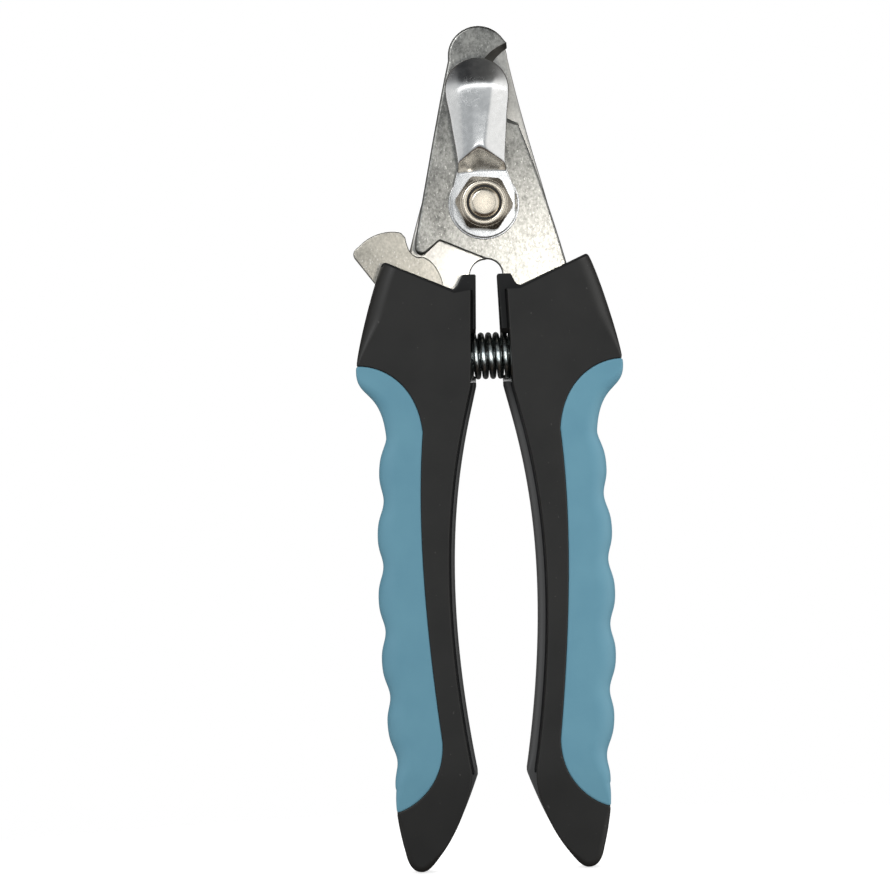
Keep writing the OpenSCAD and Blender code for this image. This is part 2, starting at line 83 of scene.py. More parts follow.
# Places read from the frame, the layers front first
HANDLE_FRONT, HANDLE_BACK = depths("left_grip")
CORE_FRONT, CORE_BACK = depths("left_core")
HOOK_FRONT, HOOK_BACK = depths("hook_blade")
ANVIL_FRONT, ANVIL_BACK = depths("anvil_blade")
WASHER_FRONT = depths("guard_washer")[0]
LEVER_FRONT, LEVER_BACK = depths("lock_lever")
NUT_FRONT, NUT_BACK = depths("lock_nut")
BOLT_FRONT, BOLT_BACK = depths("pivot_bolt")
MIDDLE = (HANDLE_FRONT + HANDLE_BACK) / 2
LEVER_PIVOT = tuple(sum(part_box("lever_pin"), Vector()).xz * 0.5 / MM)
spring_low, spring_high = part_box("return_spring")
SPRING_Z = (spring_low.z + spring_high.z) / 2 / MM
SPRING_END = spring_high.x / MM
SPRING_RADIUS = (spring_high.z - spring_low.z) / 2 / MM

# Sizes of the handles
CORE_STEP = {"left": 1.1, "right": 1.8}  # how far the core stands out beside its covers
HOOD_DROP = {"left": 0.5, "right": 0.0}  # how far the top of the hood is lowered
WALL_TOP = (1.95, -13.6)
WALL_FOOT = (2.65, -35.3)
WALL_SLOPE = (WALL_FOOT[0] - WALL_TOP[0]) / (WALL_TOP[1] - WALL_FOOT[1])
GROOVE_WIDTH = 0.4
GROOVE_DEPTH = 0.9
POCKET_RADIUS = SPRING_RADIUS + 0.6

# Sizes shared by the blades, the guard, the washers, the bolt and its nut
PIVOT_HOLE = 3
ACROSS_FLATS = 10.0

# How finely and how far past each other things are made
FINE = 0.45  # usual distance between the points of a curve
REACH = 1  # how far a cutting tool goes past what it cuts
AXIS_GAP = 0.01  # a closed solid of revolution starts this far from its axis
SHARP_ANGLE = math.radians(32)


# ---------------------------------------------------------------- outlines

def bezier(a, b, c, d, step=FINE):
    """Points along a cubic curve."""
    a, b, c, d = (np.array(p, float) for p in (a, b, c, d))
    length = np.linalg.norm(b - a) + np.linalg.norm(c - b) + np.linalg.norm(d - c)
    t = np.linspace(0, 1, max(3, round(length / step)))[:, None]
    return (1 - t) ** 3 * a + 3 * (1 - t) ** 2 * t * b + 3 * (1 - t) * t * t * c + t ** 3 * d


def arc(centre, radius, first, last, step=0.3):
    """Points along an arc between two angles in degrees."""
    count = max(4, round(abs(math.radians(last - first)) * radius / step))
    angle = np.radians(np.linspace(first, last, count))
    return np.array(centre) + radius * np.stack([np.cos(angle), np.sin(angle)], 1)


def edge(points, radius):
    """Points with the rounding radius of the edge through them."""
    points = np.array(points, float).reshape(-1, 2)
    return np.column_stack([points, np.full(len(points), radius)])


def joined(*parts):
    """One closed outline of (x, z, radius), without doubled points."""
    raw = np.concatenate(parts)
    keep = np.linalg.norm(raw[:, :2] - np.roll(raw[:, :2], 1, 0), axis=1) > 0.02
    return raw[keep]


def softened(outline, radius, sharper_than=25):
    """Replaces each corner that turns by more than some degrees with a short curve."""
    xz = outline[:, :2]
    count = len(xz)
    before = xz - np.roll(xz, 1, 0)
    after = np.roll(before, -1, 0)
    cross = before[:, 0] * after[:, 1] - before[:, 1] * after[:, 0]
    turn = np.abs(np.degrees(np.arctan2(cross, (before * after).sum(1))))
    swallowed = set()
    corners = {}
    for corner in np.flatnonzero(turn > sharper_than):
        reach = radius * min(math.tan(math.radians(turn[corner]) / 2), 1.2)
        ends = []
        for way in (-1, 1):
            here, left = corner, reach
            while True:
                there = (here + way) % count
                side = np.linalg.norm(xz[there] - xz[here])
                if side > left or there in corners:
                    most = 0.45 if here == corner or there in corners else 1
                    share = min(left / side, most)
                    ends.append(outline[here] + (outline[there] - outline[here]) * share)
                    break
                left -= side
                swallowed.add(there)
                here = there
        corners[corner] = ends
    points = []
    for i in range(count):
        if i in corners:
            start, end = corners[i]
            for t in np.linspace(0, 1, 7):
                points.append((1 - t) ** 2 * start + 2 * t * (1 - t) * outline[i] + t * t * end)
        elif i not in swallowed:
            points.append(outline[i])
    return joined(np.array(points))


def divided(outline, step=1.0):
    """Adds points so that no side of an outline is longer than step."""
    points = []
    for a, b in zip(outline, np.roll(outline, -1, 0)):
        count = max(1, math.ceil(np.linalg.norm(b[:2] - a[:2]) / step))
        points += [a + (b - a) * k / count for k in range(count)]
    return np.array(points)


def inward(xz):
    """Normals that point into a clockwise outline, as long as the miter at each point."""
    u = xz - np.roll(xz, 1, 0)
    u /= np.linalg.norm(u, axis=1)[:, None]
    v = np.roll(u, -1, 0)
    miter = np.stack([u[:, 1] + v[:, 1], -u[:, 0] - v[:, 0]], 1)
    return miter / np.maximum(1 + (u * v).sum(1), 0.5)[:, None]


def fitted_radius(xz, normal, radius, spacing):
    """The edge radius at each point, eased down wherever the outline is too tight for it."""
    away = xz[None] - xz[:, None]
    unit = normal / np.linalg.norm(normal, axis=1)[:, None]
    along = np.einsum("ijk,ik->ij", away, unit)
    circle = np.where(along > 1e-4, (away ** 2).sum(2) / np.maximum(2 * along, 1e-4), 1e3)
    radius = np.minimum(radius, 0.8 * circle.min(1))
    steepest = 0.3
    for _ in range(60):
        from_last = np.roll(radius, 1) + steepest * spacing
        from_next = np.roll(radius, -1) + steepest * np.roll(spacing, -1)
        radius = np.minimum(radius, np.minimum(from_last, from_next))
    for _ in range(6):
        radius = (np.roll(radius, 1) + 2 * radius + np.roll(radius, -1)) / 4
    return np.maximum(radius, 0.03)


# ---------------------------------------------------------------- meshes

def mesh_object(name, mesh):
    """An object at the origin in the scene that holds a mesh."""
    obj = bpy.data.objects.new(name, mesh)
    bpy.context.scene.collection.objects.link(obj)
    return obj


def from_bmesh(name, bm):
    """An object made of a bmesh, which is used up."""
    bmesh.ops.recalc_face_normals(bm, faces=bm.faces)
    mesh = bpy.data.meshes.new(name)
    bm.to_mesh(mesh)
    bm.free()
    return mesh_object(name, mesh)


def loft(bm, rings, closed_ends=True):
    """Joins rings of points with quads, and closes both ends."""
    verts = [[bm.verts.new(p) for p in ring] for ring in rings]
    for a, b in zip(verts, verts[1:]):
        for k in range(len(a)):
            j = (k + 1) % len(a)
            bm.faces.new((a[k], a[j], b[j], b[k]))
    if closed_ends:
        bm.faces.new(verts[0][::-1])
        bm.faces.new(verts[-1])


def moulded(name, outline, front, back, both=False, spread=1.0, cuts=(), warp=None, steps=6):
    """A slab with rounded front edges, and rounded back edges when both is set.

    spread makes the rounding wider than it is deep. cuts holds (axis, place) planes that divide
    the flat faces, and warp moves the points after that.
    """
    outline = divided(outline)
    xz = outline[:, :2]
    spacing = np.linalg.norm(xz - np.roll(xz, 1, 0), axis=1)
    normal = inward(xz)
    radius = fitted_radius(xz, normal, outline[:, 2] * spread, spacing) / spread

    def ring(angle, depth, sense):
        inset = (radius * spread * (1 - math.cos(angle)))[:, None]
        place = xz + normal * inset
        y = depth + sense * radius * (1 - math.sin(angle))
        return np.column_stack([place[:, 0], y, place[:, 1]])

    angles = np.linspace(0, math.pi / 2, steps + 1)
    plain = np.column_stack([xz[:, 0], np.full(len(xz), back), xz[:, 1]])
    rings = [ring(a, back, -1) for a in angles[::-1]] if both else [plain]
    rings += [ring(a, front, 1) for a in angles]
    bm = bmesh.new()
    loft(bm, rings)
    for axis, place in cuts:
        across = Vector([axis == k for k in range(3)])
        bmesh.ops.bisect_plane(
            bm, geom=bm.verts[:] + bm.edges[:] + bm.faces[:], dist=1e-5,
            plane_co=across * place, plane_no=across)
    if warp:
        for v in bm.verts:
            v.co = warp(v.co)
    return from_bmesh(name, bm)


def prism(name, points, front, back):
    """A plain slab."""
    bm = bmesh.new()
    loft(bm, [[(x, y, z) for x, z in points] for y in (back, front)])
    return from_bmesh(name, bm)


def circles(profile, segments=128):
    """A ring of points about the pivot axis for each (radius, y) point of a profile."""
    turn = [2 * math.pi * k / segments for k in range(segments)]
    return [[(radius * math.cos(a), y, radius * math.sin(a)) for a in turn] for radius, y in profile]


def turned(name, profile):
    """A solid of revolution about the pivot axis. The profile is (radius, y) points."""
    bm = bmesh.new()
    loft(bm, circles(profile))
    return from_bmesh(name, bm)


def washer(name, outer, front, back, round_off=0.15, steps=4):
    """A ring with rounded outer edges round the pivot hole."""
    turn = np.linspace(0, math.pi / 2, steps + 1)
    rise = round_off * (1 - np.sin(turn))
    fall = round_off * (1 - np.cos(turn))
    profile = [
        (PIVOT_HOLE, back),
        *zip(outer - rise, back - fall),
        *zip(outer - fall, front + rise),
        (PIVOT_HOLE, front),
        (PIVOT_HOLE, back),
    ]
    bm = bmesh.new()
    loft(bm, circles(profile), closed_ends=False)
    bmesh.ops.remove_doubles(bm, verts=bm.verts, dist=1e-4)
    return from_bmesh(name, bm)


def bar(name, radius, start, end, segments=96):
    """A round cutting tool between two points."""
    start, end = Vector(start), Vector(end)
    along = end - start
    turn = along.to_track_quat("Z", "Y").to_matrix().to_4x4()
    bm = bmesh.new()
    bmesh.ops.create_cone(
        bm, cap_ends=True, segments=segments, radius1=radius, radius2=radius,
        depth=along.length, matrix=Matrix.Translation((start + end) / 2) @ turn)
    return from_bmesh(name, bm)


def freeze(obj):
    """Turns an object's modifiers into plain geometry."""
    graph = bpy.context.evaluated_depsgraph_get()
    mesh = bpy.data.meshes.new_from_object(obj.evaluated_get(graph))
    obj.modifiers.clear()
    obj.data = mesh


def cut(obj, *tools, operation="DIFFERENCE"):
    """Cuts tools out of an object, or joins them to it, or keeps what they share."""
    for tool in tools:
        modifier = obj.modifiers.new("cut", "BOOLEAN")
        modifier.operation = operation
        modifier.solver = "EXACT"
        modifier.object = tool
        freeze(obj)
        bpy.data.objects.remove(tool)
    return obj


def drilled(obj, radius, front, back, place=(0, 0)):
    """Drills a hole through an object from front to back, on the pivot axis unless a place is given."""
    x, z = place
    return cut(obj, bar("hole", radius, (x, front - REACH, z), (x, back + REACH, z)))


def mirrored(obj, x=1, y_about=None):
    """Mirrors a mesh to the other handle, or to the other side of a depth."""
    flip = Matrix.Diagonal((x, 1, 1, 1))
    if y_about is not None:
        flip = Matrix.Translation((0, 2 * y_about, 0)) @ Matrix.Diagonal((x, -1, 1, 1))
    obj.data.transform(flip)
    if flip.determinant() < 0:
        obj.data.flip_normals()
    return obj


def finished(obj, body, material, node, smooth=SHARP_ANGLE):
    """Scales a piece to metres, shades it, and lets it stand for its CAD node on a body."""
    obj.data.transform(Matrix.Diagonal((MM, MM, MM, 1)))
    for polygon in obj.data.polygons:
        polygon.use_smooth = True
    obj.data.set_sharp_from_angle(angle=smooth)
    weighted = obj.modifiers.new("even shading", "WEIGHTED_NORMAL")
    weighted.keep_sharp = True
    weighted.weight = 80
    obj.data.materials.clear()
    obj.data.materials.append(material)
    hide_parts(node)
    if body:
        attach(obj, body)
    return obj


# ---------------------------------------------------------------- materials

def scaled(tone, factor, limit=1.0):
    """A tone made darker or lighter, with no channel above the limit."""
    return tuple(min(factor * channel, limit) for channel in tone)


class Wiring:
    """A node tree with small helpers to wire it."""

    def __init__(self, tree):
        self.nodes = tree.nodes
        self.links = tree.links

    def feed(self, socket, value):
        """Wires an output to a socket, or sets the socket to a plain number or colour."""
        if isinstance(value, bpy.types.NodeSocket):
            self.links.new(value, socket)
        elif isinstance(value, tuple):
            socket.default_value = (*value, 1)
        else:
            socket.default_value = value

    def math(self, operation, a, b=0.0, clamp=False):
        """Works out one sum of two numbers."""
        node = self.nodes.new("ShaderNodeMath")
        node.operation = operation
        node.use_clamp = clamp
        self.feed(node.inputs[0], a)
        self.feed(node.inputs[1], b)
        return node.outputs[0]

    def mixed(self, fac, a, b):
        """Blends two colours."""
        node = self.nodes.new("ShaderNodeMix")
        node.data_type = "RGBA"
        self.feed(node.inputs[0], fac)
        self.feed(node.inputs[6], a)
        self.feed(node.inputs[7], b)
        return node.outputs[2]

    def axes(self, vector):
        """The x, y and z of a vector."""
        node = self.nodes.new("ShaderNodeSeparateXYZ")
        self.links.new(vector, node.inputs[0])
        return node.outputs["X"], node.outputs["Y"], node.outputs["Z"]


class Look(Wiring):
    """A material whose surface is wired from nodes."""

    def __init__(self, name):
        self.material = bpy.data.materials.new(name)
        self.material.use_nodes = True
        super().__init__(self.material.node_tree)
        self.surface = self.nodes["Principled BSDF"]
        self.place = self.nodes.new("ShaderNodeTexCoord").outputs["Object"]

    def set(self, **values):
        """Feeds inputs of the surface, which are named with _ for each space."""
        for name, value in values.items():
            self.feed(self.surface.inputs[name.replace("_", " ")], value)

    def stretched(self, x, y, z, turn=0):
        """Object coordinates scaled per axis, after a turn about Y in degrees."""
        node = self.nodes.new("ShaderNodeMapping")
        node.vector_type = "POINT"
        self.links.new(self.place, node.inputs["Vector"])
        node.inputs["Rotation"].default_value = (0, math.radians(turn), 0)
        node.inputs["Scale"].default_value = (x, y, z)
        return node.outputs["Vector"]

    def noise(self, size, detail=3, roughness=0.5, vector=None):
        """Noise whose features are about size millimetres across."""
        node = self.nodes.new("ShaderNodeTexNoise")
        self.links.new(vector or self.place, node.inputs["Vector"])
        node.inputs["Scale"].default_value = 1 / (size * MM)
        node.inputs["Detail"].default_value = detail
        node.inputs["Roughness"].default_value = roughness
        return node.outputs["Fac"]

    def ramp(self, fac, *stops):
        """Maps a factor to stops of (place, number or colour)."""
        node = self.nodes.new("ShaderNodeValToRGB")
        self.links.new(fac, node.inputs["Fac"])
        elements = node.color_ramp.elements
        while len(elements) < len(stops):
            elements.new(0.5)
        for element, (place, colour) in zip(elements, stops):
            element.position = place
            if not isinstance(colour, tuple):
                colour = (colour, colour, colour)
            element.color = (*colour, 1)
        return node.outputs["Color"]

    def flatness(self):
        """1 where a surface faces the front or the back, and 0 where it faces sideways."""
        normal = self.nodes.new("ShaderNodeNewGeometry").outputs["True Normal"]
        return self.math("ABSOLUTE", self.axes(normal)[1])

    def bump(self, height, distance, strength=1.0, below=None):
        """Relief of the given depth in millimetres, on top of the relief below."""
        node = self.nodes.new("ShaderNodeBump")
        self.feed(node.inputs["Height"], height)
        node.inputs["Strength"].default_value = strength
        node.inputs["Distance"].default_value = distance * MM
        if below:
            self.links.new(below, node.inputs["Normal"])
        return node.outputs["Normal"]


def satin_steel(name, tone, turn=0, roughness=0.335, contrast=1.0):
    """Ground stainless plate: fine grain along the blade, cloudy patches, small nicks, and painted shade
    on the edges that face sideways.
    """
    look = Look(name)
    grain = look.noise(0.16, 4, 0.6, look.stretched(1, 1, 0.12, turn))
    speckle = look.noise(0.5, 5, 0.75, look.stretched(1, 1, 0.75, turn))
    cloud = look.noise(4.5, 4, 0.6, look.stretched(1, 1, 0.6, turn))
    shade = look.math("ADD", look.math("MULTIPLY", speckle, 0.6), look.math("MULTIPLY", cloud, 0.4))
    scars = look.noise(0.3, 2, 0.5, look.stretched(1, 1, 0.5, turn + 25))
    nicks = look.ramp(scars, (0.64, 0.0), (0.72, 0.9))
    dark = scaled(tone, 1 - 0.5 * contrast)
    pale = scaled(tone, 1 + 0.5 * contrast, 0.95)
    plain = look.ramp(shade, (0.39, dark), (0.5, tone), (0.62, pale))
    marked = look.mixed(look.math("MULTIPLY", nicks, contrast), plain, scaled(tone, 2.4, 0.9))
    # painted shade: surfaces turned sideways get half the tone, as dark rims round the plates
    face = look.ramp(look.flatness(), (0.55, 0.0), (0.92, 1.0))
    relief = look.math("SUBTRACT", look.math("ADD", grain, look.math("MULTIPLY", speckle, 0.8)), nicks)
    look.set(
        Base_Color=look.mixed(face, scaled(tone, 0.5), marked),
        Metallic=1.0,
        Roughness=look.ramp(cloud, (0.3, roughness - 0.06), (0.7, roughness + 0.08)),
        Normal=look.bump(relief, 0.004, 0.55),
    )
    return look.material


def polished_steel(name, tone, roughness=0.1):
    """Bright pressed sheet with faint waviness, fine scratches and a few curled scuffs."""
    look = Look(name)
    wave = look.noise(2.2, 2, 0.5)
    scratch = look.noise(0.12, 3, 0.6, look.stretched(1, 1, 0.06, 12))
    smudge = look.noise(1.2, 4, 0.65)
    curls = look.ramp(look.noise(1.3, 3, 0.6), (0.485, 0.0), (0.5, 1.0), (0.515, 0.0))
    scuffs = look.math("MULTIPLY", curls, look.ramp(look.noise(5, 1, 0.5), (0.5, 0.0), (0.6, 0.8)))
    clean = look.ramp(smudge, (0.35, scaled(tone, 0.9)), (0.65, tone))
    even = look.ramp(smudge, (0.3, roughness), (0.75, roughness + 0.1))
    look.set(
        Base_Color=look.mixed(scuffs, clean, (1, 1, 1)),
        Metallic=1.0,
        Roughness=look.mixed(scuffs, even, (0.5, 0.5, 0.5)),
        Normal=look.bump(scratch, 0.0012, 0.5, look.bump(wave, 0.02, 0.6)),
    )
    return look.material


def turned_steel(name, tone, roughness=0.22):
    """Plated steel of the bolt and nut, with faint turning rings about the pivot axis."""
    look = Look(name)
    x, _, z = look.axes(look.place)
    radius = look.math("SQRT", look.math("ADD", look.math("MULTIPLY", x, x), look.math("MULTIPLY", z, z)))
    rings = look.math("SINE", look.math("MULTIPLY", radius, 2 * math.pi / (0.55 * MM)))
    speckle = look.noise(0.5, 4, 0.6)
    look.set(
        Base_Color=look.ramp(speckle, (0.3, scaled(tone, 0.86)), (0.6, tone)),
        Metallic=1.0,
        Roughness=look.ramp(speckle, (0.3, roughness - 0.03), (0.7, roughness + 0.08)),
        Normal=look.bump(look.math("ADD", look.math("MULTIPLY", rings, 0.3), speckle), 0.001, 0.35),
    )
    return look.material


def spring_steel(name):
    """Blued wire with brighter streaks."""
    look = Look(name)
    streak = look.noise(0.7, 3, 0.6)
    look.set(
        Base_Color=look.ramp(streak, (0.35, (0.20, 0.23, 0.24)), (0.7, (0.42, 0.44, 0.42))),
        Metallic=1.0,
        Roughness=look.ramp(streak, (0.3, 0.18), (0.7, 0.26)),
        Normal=look.bump(look.noise(0.2, 2, 0.5), 0.001, 0.5),
    )
    return look.material


def black_plastic(name, tone, painted_sheen=None):
    """Fine satin moulding with soft sheen changes and a few pale specks.

    The keyword sets a lighter tone painted on the plastic below the spring: a painted sheen where that
    plastic catches the light.
    """
    look = Look(name)
    grain = look.noise(0.09, 2, 0.5)
    cloud = look.noise(9, 3, 0.55)
    specks = look.ramp(look.noise(0.8, 1, 0.4), (0.76, 0.0), (0.8, 1.0))
    base = look.ramp(cloud, (0.3, scaled(tone, 0.88)), (0.7, scaled(tone, 1.12)))
    # painted sheen: the plastic turns lighter below the spring, where it catches the light
    if painted_sheen:
        below = look.math("MULTIPLY", look.axes(look.place)[2], -1 / MM)
        share = look.math("DIVIDE", look.math("SUBTRACT", below, -SPRING_Z + 2), 12, clamp=True)
        base = look.mixed(share, base, painted_sheen)
    look.set(
        Base_Color=look.mixed(look.math("MULTIPLY", specks, 0.25), base, (0.16, 0.15, 0.14)),
        Roughness=look.ramp(cloud, (0.3, 0.4), (0.7, 0.5)),
        Specular_IOR_Level=0.4,
        Normal=look.bump(grain, 0.006, 0.5),
    )
    return look.material


def blue_rubber(name):
    """Soft satin rubber with a fine skin and faint handling marks."""
    look = Look(name)
    cloud = look.noise(7, 3, 0.5)
    skin = look.noise(0.12, 2, 0.5)
    look.set(
        Base_Color=look.ramp(cloud, (0.3, (0.157, 0.392, 0.520)), (0.7, (0.178, 0.427, 0.553))),
        Roughness=look.ramp(cloud, (0.3, 0.5), (0.7, 0.6)),
        Sheen_Weight=0.15,
        Sheen_Roughness=0.5,
        Normal=look.bump(skin, 0.006, 0.45),
    )
    return look.material


def nylon(name):
    """Dark, slightly rough nylon of the nut's locking ring."""
    look = Look(name)
    cloud = look.noise(0.6, 3, 0.5)
    look.set(
        Base_Color=look.ramp(cloud, (0.3, (0.012, 0.011, 0.010)), (0.7, (0.03, 0.027, 0.024))),
        Roughness=look.ramp(cloud, (0.3, 0.4), (0.7, 0.6)),
        Normal=look.bump(cloud, 0.02, 0.4),
    )
    return look.material


def pale_floor(name, radius):
    """Matt white that fades out towards the rim of a disc."""
    look = Look(name)
    grain = look.noise(3, 3, 0.5)
    distance = look.nodes.new("ShaderNodeVectorMath")
    distance.operation = "LENGTH"
    look.links.new(look.place, distance.inputs[0])
    share = look.math("MULTIPLY", distance.outputs["Value"], 1 / radius)
    look.set(
        Base_Color=look.ramp(grain, (0.3, (0.86, 0.86, 0.855)), (0.7, (0.89, 0.89, 0.885))),
        Roughness=0.8,
        Alpha=look.ramp(share, (0.3, 1.0), (0.95, 0.0)),
        Emission_Color=(1, 1, 1),
        Emission_Strength=0.72,
    )
    return look.material


BLADE = satin_steel("blade_steel", (0.272, 0.272, 0.258))
# The rear blade is the same steel as the front one, painted at about twice its tone and with less
# mottling: a painted highlight where the rear blade catches the light.
LIT_BACK_BLADE = satin_steel("back_blade_lit_steel", (0.58, 0.57, 0.54), roughness=0.32, contrast=0.4)
LEVER = satin_steel("lever_steel", (0.46, 0.44, 0.39), turn=30, roughness=0.4, contrast=0.5)
GUARD = polished_steel("guard_steel", (0.84, 0.84, 0.835), roughness=0.18)
BRIGHT = turned_steel("bright_steel", (0.80, 0.73, 0.62))
SPRING = spring_steel("spring_steel")
BLACK = black_plastic("black_plastic", (0.0218, 0.0212, 0.0199))
# The core's plastic is painted darker than the covers' as painted shade in the recesses beside them, and
# lighter below the spring as a painted sheen.
CORE_SHADE_AND_SHEEN = black_plastic("core_plastic_shade_and_sheen", (0.006, 0.006, 0.006), painted_sheen=(0.11, 0.11, 0.11))
BLUE = blue_rubber("blue_rubber")
NYLON = nylon("nylon")


# ---------------------------------------------------------------- handles

# Places where the curves of a handle's outlines meet
HOOD_CORNER = (25.45, -29)
SHOULDER_FOOT = (20.45, -44.6)
SEAM_TOP = (13.3, -44)
SEAM_FOOT = (11.45, -104)
TOE_OUTSIDE = (19.3, -125.3)
TOE_END = (16.2, -129.2)
TOE_INSIDE = (12.2, -125.7)
BOW_FOOT_X = 4.8

# Curves of the outlines. SHOULDER_START and HEEL_END are where the seam of the grip meets them.
SHOULDER = bezier(HOOD_CORNER, [27.4, -38], [21.3, -33.8], SHOULDER_FOOT, 0.3)
SHOULDER_START = len(SHOULDER) // 12
TOE_OUTER = bezier([20.7, -113], [21.1, -116.5], [20.3, -121.5], TOE_OUTSIDE, 0.4)
HEEL_END = len(TOE_OUTER) * 3 // 8
TOE_TIP = np.concatenate([
    bezier(TOE_OUTSIDE, [18.8, -128.2], [17.6, -129.2], TOE_END),
    bezier(TOE_END, [14.8, -129.2], [13.8, -127.8], TOE_INSIDE)[1:]])
TOE_INNER = bezier([BOW_FOOT_X, -110.5], [6.7, -115.7], [9.3, -122], TOE_INSIDE)
BOW = bezier(WALL_FOOT, [4.9, -45], [12.1, -66.3], [BOW_FOOT_X, -109.8], 0.8)
HOOD_SIDE = bezier([19.9, -10.5], [21.2, -13], [24.1, -22], HOOD_CORNER)
HOOD_TOP = np.array([[6.4, -16.7], [15.7, -12.5], [18.8, -11.1], [19.7, -10.75], [20.1, -11.2]])
GRIP_TOP = bezier(SHOULDER[SHOULDER_START], [22.5, -30.6], [14.3, -33], SEAM_TOP)
GRIP_SIDE = bezier(SEAM_TOP, [15.2, -62.5], [13.75, -84], SEAM_FOOT)
GRIP_HEEL = bezier(SEAM_FOOT, [11.25, -113.2], [18.5, -117], TOE_OUTER[HEEL_END])

# Roundings of the edges
HOOD_ROUND = 3.2
GRIP_ROUND = 2.8
HEEL_ROUND = 2.0
TOE_ROUND = 1.3
BOW_ROUND = 1.1
FACE_ROUND = 0.4
SEAM_ROUND = 0.3
HIDDEN_ROUND = 0.05

# The toes grow thinner from this height down
TAPER_START = -110
TAPER_SLOPE = math.tan(math.radians(8))
TAPER_EASE = 2.0
TAPER_CUTS = [(2, TAPER_START + z) for z in (*np.arange(8, -6, -1.0), *np.arange(-7, -19, -2.5))]


def wall(z):
    """The inner side of a handle at a height between the hood top and the bow."""
    return WALL_TOP[0] + WALL_SLOPE * (WALL_TOP[1] - z)


def toe_taper(co):
    """Thins the toes of a handle towards their tips, front and back."""
    down = TAPER_START - co.z
    fall = TAPER_SLOPE * (down + math.sqrt(down * down + TAPER_EASE * TAPER_EASE)) / 2
    share = (MIDDLE - co.y) / (MIDDLE - HANDLE_FRONT)
    return Vector((co.x, co.y + fall * share, co.z))


def scallops():
    """The outer edge of a grip: a wave with narrow valleys on a gentle bow."""
    first_valley, pitch, height = SHOULDER_FOOT[1], 12.54, 1.07
    valleys, lean, bow = 21.85, 0.36, 1.87
    middle, half_length = -79, 35
    z = np.arange(-45, -112.6, -FINE)
    turn = (first_valley - z) / pitch * 2 * math.pi
    wave = (1 - np.cos(turn)) / 2 + 0.08 * (1 - np.cos(2 * turn))
    along = (z - middle) / half_length
    return np.column_stack([valleys + lean * along - bow * along * along + height * wave, z])


def spring_pocket(start, end):
    """A cutting tool for the round pocket that the spring sits in, from one x to another."""
    return bar("pocket", POCKET_RADIUS, (start, MIDDLE, SPRING_Z), (end, MIDDLE, SPRING_Z))


def above_hood(step, drop):
    """A cutting tool for all that stands above the top of a hood, with a step down to its wall."""
    left, right, top = -2, 22, 6
    low, high = HOOD_TOP[0, 1], HOOD_TOP[-1, 1]
    outline = [
        [left, low], [wall(low) + step, low],
        *(HOOD_TOP - [0, drop]),
        [right, high], [right, top], [left, top],
    ]
    return prism("above", outline, HANDLE_FRONT - REACH, CORE_FRONT + REACH)


def cover(name, step, drop):
    """A hard cover of a right handle: a blank whose top is cut to the line of the hood."""
    blank_top = 2
    toe_rim = np.outer(np.linspace(0, 1, len(TOE_INNER) - 1) ** 4, [step, 0])
    outline = joined(
        edge([[wall(blank_top) + step, blank_top], [13.5, blank_top]], FACE_ROUND),
        edge(HOOD_SIDE, HOOD_ROUND),
        edge(GRIP_TOP, SEAM_ROUND),
        edge(GRIP_SIDE, SEAM_ROUND),
        edge(GRIP_HEEL, SEAM_ROUND),
        edge(TOE_OUTER[HEEL_END:], TOE_ROUND),
        edge(TOE_TIP, TOE_ROUND),
        edge(TOE_INNER[-2::-1] + toe_rim, FACE_ROUND),
        edge(BOW[::-1] + [step, 0], FACE_ROUND),
    )
    obj = moulded(name, softened(outline, 0.7), HANDLE_FRONT, CORE_FRONT, cuts=TAPER_CUTS, warp=toe_taper)
    return cut(obj, above_hood(step, drop), spring_pocket(start=0, end=4.3))


def grip(name):
    """The soft grip of a right handle, wrapped round its outer side."""
    outline = joined(
        edge(SHOULDER[SHOULDER_START:], GRIP_ROUND),
        edge(scallops(), GRIP_ROUND),
        edge(TOE_OUTER[:HEEL_END], HEEL_ROUND),
        edge(GRIP_HEEL[::-1], SEAM_ROUND),
        edge(GRIP_SIDE[::-1], SEAM_ROUND),
        edge(GRIP_TOP[::-1], SEAM_ROUND),
    )
    return moulded(
        name, softened(outline, 0.5), HANDLE_FRONT, HANDLE_BACK, both=True, spread=1.35,
        cuts=TAPER_CUTS, warp=toe_taper, steps=9)


def core_outline(drop):
    """The stiff middle layer: it stands out beside the covers and above the hood."""
    x, z = WALL_TOP
    corner = bezier([19, -10.43 - drop], [19.5, -10.2 - drop], [19.8, -10.25 - drop], HOOD_SIDE[3], 0.2)
    outline = joined(
        edge([[x + 0.1, z], [4.7, z], [5.2, z - 1], [5.7, z - 2]], 0.3),
        edge([[6.5, -15.9 - drop], [15.7, -11.9 - drop]], 0.3),
        edge(corner, 0.1),
        edge(HOOD_SIDE[4:], HIDDEN_ROUND),
        edge(SHOULDER[:SHOULDER_START], HIDDEN_ROUND),
        edge(GRIP_TOP, HIDDEN_ROUND),
        edge(GRIP_SIDE + [1, 0], HIDDEN_ROUND),
        edge(GRIP_HEEL, HIDDEN_ROUND),
        edge(TOE_OUTER[HEEL_END:], HIDDEN_ROUND),
        edge(TOE_TIP, HIDDEN_ROUND),
        edge(TOE_INNER[::-1], 0.25),
        edge(BOW[::-1], BOW_ROUND),
    )
    return softened(outline, 0.4)


